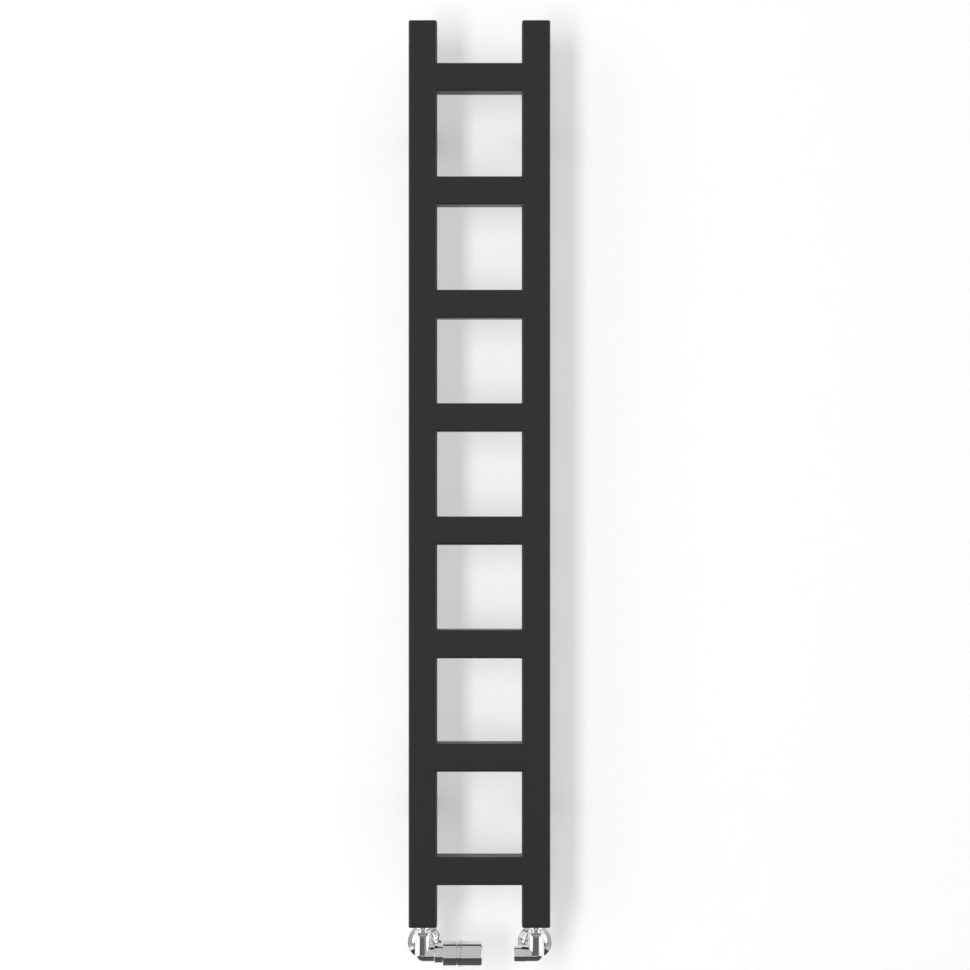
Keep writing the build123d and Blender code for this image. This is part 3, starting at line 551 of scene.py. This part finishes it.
def dial_pattern() -> Pattern:
    """Returns a tree that repeats a unit round the X axis and leaves every so many places free."""
    pattern = Pattern("dial")
    count = pattern.entry("Count", "NodeSocketInt")
    centre = pattern.entry("Centre", "NodeSocketVector")
    line = pattern.add(
        "GeometryNodeMeshLine",
        {"mode": "OFFSET"},
        {"Count": count, "Start Location": centre, "Offset": (0.0, 0.0, 0.0)},
    )
    index = pattern.add("GeometryNodeInputIndex")
    turn = index * pattern.entry("Step") + pattern.entry("First")
    rotation = pattern.add("ShaderNodeCombineXYZ", {}, {"X": turn})
    taken = (index % pattern.entry("Free", "NodeSocketInt")) > 0.5
    sockets = {
        "Points": line,
        "Instance": pattern.entry("Unit"),
        "Rotation": pattern.add("FunctionNodeEulerToRotation", {}, {"Euler": rotation}),
        "Selection": taken,
    }
    return pattern.close(pattern.add("GeometryNodeInstanceOnPoints", {}, sockets))


def union_box(nodes: Iterable[str]) -> tuple[Vector, Vector]:
    """Returns the lowest and highest corner of several nodes together."""
    lows, highs = zip(*(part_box(node) for node in nodes))
    lowest = Vector([min(values) for values in zip(*lows)])
    highest = Vector([max(values) for values in zip(*highs)])
    return lowest, highest


def settle(
    piece: bpy.types.Object,
    body: str,
    finish: Finish,
    stands_for: Sequence[str] = (),
) -> None:
    """Dresses a finished piece and fastens it to the frame.

    Args:
        piece: the piece, in place.
        body: the body that it moves with.
        finish: its finish.
        stands_for: the nodes that it replaces.
    """
    piece.data.materials.clear()
    piece.data.materials.append(finish.material())
    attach(piece, body)
    if stands_for:
        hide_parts(*stands_for)
    LOG.info("%s rides on %s: %d faces", piece.name, body, len(piece.data.polygons))


@dataclass
class RoundedRectangle:
    """The section of a flat tube, with a narrow band beside each round edge that keeps the flats flat."""

    width: float
    depth: float
    edge: float
    steps: int = 10
    band: float = 0.00025

    def points(self, inset: float = 0.0) -> list[tuple[float, float]]:
        """Returns the outline.

        Args:
            inset: how far the whole outline is drawn in.

        Returns:
            Points round the outline, across the width and the depth from the centre.
        """
        radius = self.edge - inset
        reach = self.width / 2 - self.edge
        drop = self.depth / 2 - self.edge
        outline = []
        for corner, (side, end) in enumerate(((1, 1), (-1, 1), (-1, -1), (1, -1))):
            start = corner * math.pi / 2
            arc = [start + math.pi / 2 * step / self.steps for step in range(self.steps + 1)]
            rim = [
                (side * reach + radius * math.cos(angle), end * drop + radius * math.sin(angle))
                for angle in arc
            ]
            before = (rim[0][0] + self.band * math.sin(start), rim[0][1] - self.band * math.cos(start))
            after = (
                rim[-1][0] - self.band * math.sin(arc[-1]),
                rim[-1][1] + self.band * math.cos(arc[-1]),
            )
            outline += [before, *rim, after]
        return outline


@dataclass
class Ladder:
    """The welded frame: two uprights, the crossbars between them and the seams that join them."""

    edge: float = 0.0035
    end_edge: float = 0.0022
    end_steps: int = 6
    bush_room: float = 0.00005
    socket_depth: float = 0.02
    weld_leg: float = 0.0011
    weld_steps: int = 5
    weld_root: float = 0.0002
    weld_sink: float = 0.00001  # of the seams behind the fronts and before the backs
    bar_names: tuple[str, ...] = tuple(f"crossbar_{n}" for n in range(1, 9))

    def build(self, row: Pattern) -> None:
        """Builds the whole frame.

        Args:
            row: the tree that repeats a unit along a line.
        """
        for side in ("left", "right"):
            self._upright(side)
        low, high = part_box(self.bar_names[0])
        next_low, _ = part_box(self.bar_names[1])
        down = {"Count": len(self.bar_names), "Step": (0.0, 0.0, next_low.z - low.z)}
        bars = self._bar(low, high)
        row.bake(bars, {**down, "Finish": FRAME_PAINT.material()})
        settle(bars, "rack", FRAME_PAINT, self.bar_names)
        seams = self._bar_seams(low, high)
        row.bake(seams, {**down, "Finish": FRAME_PAINT.material()})
        settle(seams, "rack", FRAME_PAINT)

    def _upright(self, side: str) -> None:
        """Builds one upright with its end plates in one skin.

        Args:
            side: "left" or "right".
        """
        nodes = [f"{side}_upright", f"{side}_top_cap", f"{side}_bottom_cap"]
        low, high = union_box(nodes)
        centre = (low + high) / 2
        section = RoundedRectangle(high.x - low.x, high.y - low.y, self.edge)

        def level(height: float, inset: float = 0.0) -> list[Vector]:
            """Returns the section at a height."""
            return [Vector((centre.x + x, centre.y + y, height)) for x, y in section.points(inset)]

        turns = [math.pi / 2 * step / self.end_steps for step in range(self.end_steps + 1)]
        rounding = [
            (self.end_edge * (1 - math.sin(turn)), self.end_edge * (1 - math.cos(turn)))
            for turn in turns
        ]
        margin = self.end_edge + section.band
        _, bush_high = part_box("reducing_bushes")
        bush_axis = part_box("right_upright")
        radius = bush_high.x - (bush_axis[0].x + bush_axis[1].x) / 2 + self.bush_room
        rim = [
            math.atan2(point.y - centre.y, point.x - centre.x) for point in level(low.z, margin)
        ]

        def circle(height: float) -> list[Vector]:
            """Returns the mouth of the connection at a height."""
            return [
                Vector((centre.x + radius * math.cos(angle), centre.y + radius * math.sin(angle), height))
                for angle in rim
            ]

        loops = [circle(low.z + self.socket_depth), circle(low.z), level(low.z, margin)]
        loops += [level(low.z + rise, inset) for rise, inset in reversed(rounding)]
        loops += [level(low.z + margin), level(high.z - margin)]
        loops += [level(high.z - rise, inset) for rise, inset in rounding]
        loops.append(level(high.z, margin))
        skin = Skin()
        skin.loft(loops)
        settle(skin.finish(f"{side}_upright_skin"), "rack", FRAME_PAINT, nodes)

    def _inner_faces(self) -> tuple[float, float]:
        """Returns where the left and the right upright face each other."""
        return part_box("left_upright")[1].x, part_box("right_upright")[0].x

    def _bar(self, low: Vector, high: Vector) -> bpy.types.Object:
        """Builds the top crossbar, whose front runs flush into the fronts of the uprights.

        Args:
            low: the bar's lowest corner.
            high: the bar's highest corner.

        Returns:
            The bar.
        """
        left, right = self._inner_faces()
        section = RoundedRectangle(high.y - low.y, high.z - low.z, self.edge)
        centre = (low + high) / 2
        outline = section.points()
        ends = (left - self.edge, right + self.edge)
        skin = Skin()
        skin.loft([[Vector((x, centre.y + y, centre.z + z)) for y, z in outline] for x in ends])
        return skin.finish("crossbars")

    def _bar_seams(self, low: Vector, high: Vector) -> bpy.types.Object:
        """Builds the dressed welds of one bar, a hollow fillet in each of its four corners.

        Args:
            low: the bar's lowest corner.
            high: the bar's highest corner.

        Returns:
            The four seams as one piece.
        """
        skin = Skin()
        left, right = self._inner_faces()
        for x, inward in ((left, 1), (right, -1)):
            for z, outward in ((low.z, -1), (high.z, 1)):
                skin.loft(self._seam_loops(Vector((x, low.y, z)), high.y, inward, outward))
        return skin.finish("bar_seams")

    def _seam_loops(self, corner: Vector, back: float, inward: int, outward: int) -> list[list[Vector]]:
        """Works out the sections of one seam.

        Args:
            corner: where the bar meets the upright, at the front.
            back: the plane of the backs.
            inward: the way along X from the upright into the bar.
            outward: the way along Z away from the bar.

        Returns:
            The sections from the front to the back.
        """
        shares = [step / self.weld_steps for step in range(self.weld_steps + 1)]
        along = inward * Vector((1, 0, 0))
        away = outward * Vector((0, 0, 1))
        stations = []
        for share in shares:
            turn = math.pi / 2 * (1 - share)
            draw = self.edge * (1 - math.cos(turn))
            stations.append((corner.y + self.edge * (1 - math.sin(turn)) + self.weld_sink, draw))
        stations += [(back - (y - corner.y), draw) for y, draw in reversed(stations)]
        loops = []
        for y, draw in stations:
            root = Vector((corner.x, y, corner.z)) - draw * (along + away)
            hollow = [
                root + self.weld_leg * ((1 - share) ** 2 * away + share**2 * along)
                for share in shares
            ]
            loops.append([*hollow, root - self.weld_root * (along + away)])
        return loops


@dataclass
class VentSeams:
    """The weld bead round each boss on the backs of the uprights."""

    section: float = 0.0007
    steps: int = 96
    arc_steps: int = 8
    ripples: int = 26
    ripple: float = 0.07

    def build(self, row: Pattern) -> None:
        """Builds both beads.

        Args:
            row: the tree that repeats a unit along a line.
        """
        low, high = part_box("vent_bosses")
        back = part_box("left_upright")[1].y
        radius = (high.z - low.z) / 2
        spread = high.x - low.x - 2 * radius
        centre = Vector((low.x + radius, back, low.z + radius))
        skin = Skin()
        skin.loft([self._section(centre, radius, step) for step in range(self.steps)], closed=True)
        beads = skin.finish("vent_boss_seams")
        row.bake(beads, {"Count": 2, "Step": (spread, 0.0, 0.0), "Finish": FRAME_PAINT.material()})
        settle(beads, "rack", FRAME_PAINT, ["vent_bosses"])

    def _section(self, centre: Vector, radius: float, step: int) -> list[Vector]:
        """Works out one section of a bead.

        Args:
            centre: the boss's centre on the back of the tube.
            radius: the boss's radius.
            step: the section's number round the ring.

        Returns:
            The section's points.
        """
        turn = 2 * math.pi * step / self.steps
        size = self.section * (1 + self.ripple * math.sin(self.ripples * turn))
        spoke = Vector((math.cos(turn), 0, math.sin(turn)))
        points = []
        for place in range(self.arc_steps + 1):
            angle = math.pi * place / self.arc_steps
            rise = Vector((0, size * math.sin(angle), 0))
            points.append(centre + spoke * (radius + size * math.cos(angle)) + rise)
        sunk = Vector((0, -self.section / 2, 0))
        return [*points, points[-1] + sunk, points[0] + sunk]


@dataclass
class ThermostatDial:
    """What is printed on the thermostatic head: a ring of dots, plain numbers and an index mark."""

    ring_offset: float = 0.0053  # from the inner end of the knob
    numbers: int = 6
    number_every: int = 4  # places, with a dot at each place between two numbers
    place_turn: float = math.radians(12.0)
    first_turn: float = math.radians(188.0)  # of the first number, up from the front
    dot_radius: float = 0.0007
    dot_sides: int = 14
    number_height: float = 0.0042
    number_share: float = 0.7  # of the font's size that a number is high
    number_steps: int = 6
    film: float = 0.00002
    film_root: float = 0.0001
    slice_width: float = 0.0003
    same_point: float = 1e-7
    same_plane: float = 1e-8
    index_inset: float = 0.0026  # from the outer end of the base ring
    index_turn: float = math.radians(68.0)
    index_size: tuple[float, float] = (0.0026, 0.0009)
    radius: float = field(init=False)
    axis: Vector = field(init=False)

    def build(self, dial: Pattern) -> None:
        """Prints the head.

        Args:
            dial: the tree that repeats a unit round the X axis.
        """
        low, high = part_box("control_knob")
        self.radius = (high.z - low.z) / 2
        self.axis = Vector((0.0, (low.y + high.y) / 2, (low.z + high.z) / 2))
        station = low.x + self.ring_offset
        dots = self._print("dial_dots", [self._disc()], Vector((station, 0, 0)), 0.0)
        values = {
            "Count": (self.numbers - 1) * self.number_every + 1,
            "Centre": tuple(self.axis),
            "Step": self.place_turn,
            "First": -self.first_turn,
            "Free": self.number_every,
            "Finish": DIAL_INK.material(),
        }
        dial.bake(dots, values)
        settle(dots, "knob", DIAL_INK)
        middle = self.axis + Vector((station, 0, 0))
        for number in range(self.numbers):
            turn = self.first_turn - number * self.number_every * self.place_turn
            piece = self._print(f"dial_number_{number}", self._glyph(str(number)), middle, turn)
            settle(piece, "knob", DIAL_INK)
        base_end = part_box("head_base")[1].x - self.index_inset
        mark = self._print(
            "dial_index", [self._bar()], self.axis + Vector((base_end, 0, 0)), self.index_turn
        )
        settle(mark, "rack", DIAL_INK)

    def _disc(self) -> list[tuple[float, float]]:
        """Returns the outline of a dot."""
        turns = [2 * math.pi * side / self.dot_sides for side in range(self.dot_sides)]
        return [(self.dot_radius * math.cos(turn), self.dot_radius * math.sin(turn)) for turn in turns]

    def _bar(self) -> list[tuple[float, float]]:
        """Returns the outline of the index mark, which points along the axis."""
        length, width = self.index_size
        corners = ((-1, -1), (1, -1), (1, 1), (-1, 1))
        return [(side * width / 2, end * length / 2) for side, end in corners]

    def _glyph(self, text: str) -> list[list[tuple[float, float]]]:
        """Returns the flat faces of a number.

        Args:
            text: the number.

        Returns:
            The outlines of the faces, centred, with their tops along the axis.
        """
        curve = bpy.data.curves.new("number", "FONT")
        curve.body = text
        curve.size = self.number_height / self.number_share
        curve.align_x = "CENTER"
        curve.resolution_u = self.number_steps
        source = bpy.data.objects.new("number", curve)
        bpy.context.scene.collection.objects.link(source)
        flat = bpy.data.meshes.new_from_object(
            source.evaluated_get(bpy.context.evaluated_depsgraph_get())
        )
        bpy.data.objects.remove(source)
        bpy.data.curves.remove(curve)
        points = [(vert.co.x, vert.co.y) for vert in flat.vertices]
        heights = [y for _, y in points]
        middle = (min(heights) + max(heights)) / 2
        outlines = [
            [(points[place][0], points[place][1] - middle) for place in face.vertices]
            for face in flat.polygons
        ]
        bpy.data.meshes.remove(flat)
        return outlines

    def _print(
        self,
        name: str,
        faces: list[list[tuple[float, float]]],
        centre: Vector,
        turn: float,
    ) -> bpy.types.Object:
        """Wraps flat faces round the head as a thin film.

        Args:
            name: the piece's name.
            faces: outlines, across and along the axis.
            centre: the point on the axis that the print is centred on.
            turn: how far it is turned up from the front.

        Returns:
            The film.
        """
        skin = Skin()
        flat = skin.mesh
        for outline in faces:
            flat.faces.new([flat.verts.new((x, y, 0.0)) for x, y in outline])
        bmesh.ops.remove_doubles(flat, verts=flat.verts, dist=self.same_point)
        reach = max(abs(vert.co.x) for vert in flat.verts)
        slices = int(reach / self.slice_width)
        for number in range(-slices, slices + 1):
            bmesh.ops.bisect_plane(
                flat,
                geom=[*flat.verts, *flat.edges, *flat.faces],
                plane_co=(number * self.slice_width, 0, 0),
                plane_no=(1, 0, 0),
                dist=self.same_plane,
            )
        front = list(flat.faces)
        extruded = bmesh.ops.extrude_face_region(flat, geom=front, use_keep_orig=True)["geom"]
        roots = {part for part in extruded if isinstance(part, bmesh.types.BMVert)}
        for vert in flat.verts:
            radius = self.radius + (-self.film_root if vert in roots else self.film)
            angle = turn - vert.co.x / self.radius
            spoke = Vector((0, -math.cos(angle), math.sin(angle)))
            vert.co = centre + Vector((vert.co.y, 0, 0)) + spoke * radius
        return skin.finish(name)


@dataclass(frozen=True)
class Flag:
    """A dark card close before a valve, which shows only in what mirrors it: it paints a dark reflection
    into the chrome of the valve.

    Attributes:
        span: its left and right edges.
        heights: its lower and upper edges.
        level: how bright the painted reflection is.
    """

    span: tuple[float, float]
    heights: tuple[float, float]
    level: float


@dataclass
class Studio:
    """The white wall, the pale floor, the soft light and the camera."""

    wall_size: float = 3.0
    wall_colour: float = 0.65
    wall_glow: float = 0.365
    floor_height: float = -2.0
    floor_size: float = 4.0
    floor_colour: float = 0.78
    # How far aside the light comes from, and its level there
    air: tuple[tuple[float, float], ...] = ((0.15, 0.55), (0.25, 0.3), (0.68, 0.3), (0.8, 1.6))
    strip_place: tuple[float, float, float] = (-2.08, -4.0, 0.12)
    strip_size: tuple[float, float] = (0.95, 4.15)
    strip_power: float = 109.0
    # The dark sheets and flags below glow and show only in reflections: painted dark reflections in the
    # chrome
    dark_lift: float = 0.005  # of the dark sheets off the floor and the wall
    dark_front: float = -3.5
    dark_top: float = -1.1
    dark_levels: tuple[float, float] = (0.1, 0.042)  # by the wall and at the front
    flag_front: float = -0.083
    flags: tuple[Flag, ...] = (
        Flag((-0.087, -0.0771), (-0.68, -0.6538), 0.13),
        Flag((0.0737, 0.0838), (-0.68, -0.6538), 0.13),
        Flag((-0.0874, -0.0726), (-0.6524, -0.6503), 0.18),
        Flag((0.0726, 0.0874), (-0.6524, -0.6503), 0.18),
        Flag((-0.0874, -0.0726), (-0.6496, -0.6486), 0.18),
        Flag((0.0726, 0.0874), (-0.6496, -0.6486), 0.18),
    )
    view_distance: float = 2.53  # from the camera to the front of the rack
    view_reach: float = 0.68325  # half of the picture's width, at the front of the rack
    view_place: tuple[float, float] = (0.0078, -0.0154)

    def build(self) -> None:
        """Sets up everything round the rack."""
        self._wall()
        self._floor()
        self._reflections()
        self._air()
        self._key()
        self._camera()
        bpy.context.scene.view_settings.view_transform = "Standard"

    @staticmethod
    def _sheet(name: str, corners: Sequence[tuple], material: bpy.types.Material) -> bpy.types.Object:
        """Adds a flat sheet that isn't part of the rack.

        Args:
            name: the sheet's name.
            corners: its corners in order.
            material: its material.

        Returns:
            The sheet.
        """
        data = bpy.data.meshes.new(name)
        data.from_pydata(corners, [], [tuple(range(len(corners)))])
        data.materials.append(material)
        sheet = bpy.data.objects.new(name, data)
        bpy.context.scene.collection.objects.link(sheet)
        return sheet

    def _wall(self) -> None:
        """Adds the wall, which shows from the room's side only and lets light from behind through."""
        shading = Shading("white wall")
        matt = shading.add("ShaderNodeBsdfDiffuse", {}, {"Color": (*grey(self.wall_colour), 1.0)})
        glow = shading.add("ShaderNodeEmission", {}, {"Color": (*grey(self.wall_glow), 1.0)})
        bright = shading.add("ShaderNodeAddShader", {}, {"Shader": matt, "Shader_001": glow})
        rays = {
            kind: shading.add("ShaderNodeLightPath", output=f"Is {kind} Ray")
            for kind in ("Camera", "Glossy", "Transmission", "Shadow")
        }
        seen = rays["Camera"].maximum(rays["Glossy"]).maximum(rays["Transmission"])
        front = shading.add("ShaderNodeMixShader", {}, {"Fac": seen, "Shader": matt, "Shader_001": bright})
        behind = shading.add("ShaderNodeNewGeometry", output="Backfacing").maximum(rays["Shadow"])
        clear = shading.add("ShaderNodeBsdfTransparent")
        sockets = {"Fac": behind, "Shader": front, "Shader_001": clear}
        surface = shading.add("ShaderNodeMixShader", {}, sockets)
        shading.add("ShaderNodeOutputMaterial", {}, {"Surface": surface})
        reach, floor = self.wall_size, self.floor_height
        corners = [(-reach, 0, floor), (reach, 0, floor), (reach, 0, reach), (-reach, 0, reach)]
        self._sheet("wall", corners, shading.material)

    def _floor(self) -> None:
        """Adds the pale floor."""
        shading = Shading("pale floor")
        matt = shading.add("ShaderNodeBsdfDiffuse", {}, {"Color": (*grey(self.floor_colour), 1.0)})
        shading.add("ShaderNodeOutputMaterial", {}, {"Surface": matt})
        reach, z = self.floor_size, self.floor_height
        corners = [(-reach, -reach, z), (reach, -reach, z), (reach, reach, z), (-reach, reach, z)]
        self._sheet("floor", corners, shading.material)

    def _shine(self, name: str, corners: Sequence[tuple], levels: tuple[float, float]) -> None:
        """Adds a glowing sheet that only shows in what mirrors it, a painted reflection.

        Args:
            name: the sheet's name.
            corners: its corners in order.
            levels: how bright the painted reflection is by the wall, and as far off as the dark sheet
                reaches.
        """
        shading = Shading(name)
        depth = shading.add("ShaderNodeSeparateXYZ", {}, {"Vector": shading.place()}, "Y")
        near, far = levels
        colour = shading.tint(depth * (1 / self.dark_front), grey(near), grey(far))
        light = shading.add("ShaderNodeEmission", {}, {"Color": colour})
        shading.add("ShaderNodeOutputMaterial", {}, {"Surface": light})
        sheet = self._sheet(name, corners, shading.material)
        sheet.visible_camera = False
        sheet.visible_diffuse = False
        sheet.visible_shadow = False
        sheet.visible_transmission = False

    def _reflections(self) -> None:
        """Adds what the rack mirrors, as painted reflections: dark sheets below it and dark flags before
        its valves.
        """
        reach, y, z = self.floor_size, self.dark_front, self.floor_height + self.dark_lift
        corners = [(-reach, y, z), (reach, y, z), (reach, 0, z), (-reach, 0, z)]
        self._shine("dark_sheet", corners, self.dark_levels)
        y, top = -self.dark_lift, self.dark_top
        corners = [(-reach, y, z), (reach, y, z), (reach, y, top), (-reach, y, top)]
        self._shine("dark_foot", corners, self.dark_levels)
        y = self.flag_front
        for number, flag in enumerate(self.flags, start=1):
            (left, right), (low, high) = flag.span, flag.heights
            corners = [(left, y, low), (right, y, low), (right, y, high), (left, y, high)]
            self._shine(f"flag_{number}", corners, (flag.level, flag.level))

    def _air(self) -> None:
        """Lights the room softly from all round, most of all from both sides."""
        world = bpy.data.worlds.new("soft room")
        world.use_nodes = True
        graph = Graph(world.node_tree)
        way = graph.add("ShaderNodeTexCoord", output="Generated")
        across = graph.add("ShaderNodeSeparateXYZ", {}, {"Vector": way}, "X")
        aside = graph.add("ShaderNodeMath", {"operation": "ABSOLUTE"}, {"Value": across})
        stops = [(place, grey(level)) for place, level in self.air]
        colour = graph.add("ShaderNodeValToRGB", {"stops": stops}, {"Fac": aside})
        light = graph.add("ShaderNodeBackground", {}, {"Color": colour})
        graph.add("ShaderNodeOutputWorld", {}, {"Surface": light})
        bpy.context.scene.world = world

    def _key(self) -> None:
        """Adds the tall strip lamp on the left."""
        lamp = bpy.data.lights.new("key", "AREA")
        lamp.shape = "RECTANGLE"
        lamp.size, lamp.size_y = self.strip_size
        lamp.energy = self.strip_power
        key = bpy.data.objects.new("key", lamp)
        x, y, _ = self.strip_place
        key.location = self.strip_place
        key.rotation_euler = Vector((x, y, 0.0)).to_track_quat("Z", "Y").to_euler()
        key.visible_glossy = False
        bpy.context.scene.collection.objects.link(key)

    def _camera(self) -> None:
        """Adds the camera, which looks straight at the wall."""
        data = bpy.data.cameras.new("camera")
        data.angle = 2 * math.atan(self.view_reach / self.view_distance)
        camera = bpy.data.objects.new("camera", data)
        across, height = self.view_place
        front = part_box("left_upright")[0].y
        camera.location = (across, front - self.view_distance, height)
        camera.rotation_euler = (math.pi / 2, 0, 0)
        bpy.context.scene.collection.objects.link(camera)
        bpy.context.scene.camera = camera


def dress_nodes() -> None:
    """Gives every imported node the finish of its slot."""
    for subpart in frame["record"]["subparts"]:
        name = subpart["node"]
        finish = CROSSWISE_FINISHES.get(name) or SLOT_FINISHES[subpart["material_slot"]]
        for slot in frame["nodes"][name].material_slots:
            slot.material = finish.material()
        LOG.info("%s has the finish %s", name, finish.name)


def main() -> None:
    """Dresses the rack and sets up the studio."""
    logging.basicConfig(level=logging.INFO, format="%(name)s: %(message)s")
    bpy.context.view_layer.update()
    dress_nodes()
    row = row_pattern()
    Ladder().build(row)
    VentSeams().build(row)
    ThermostatDial().build(dial_pattern())
    Studio().build()


if __name__ == "__main__":
    main()
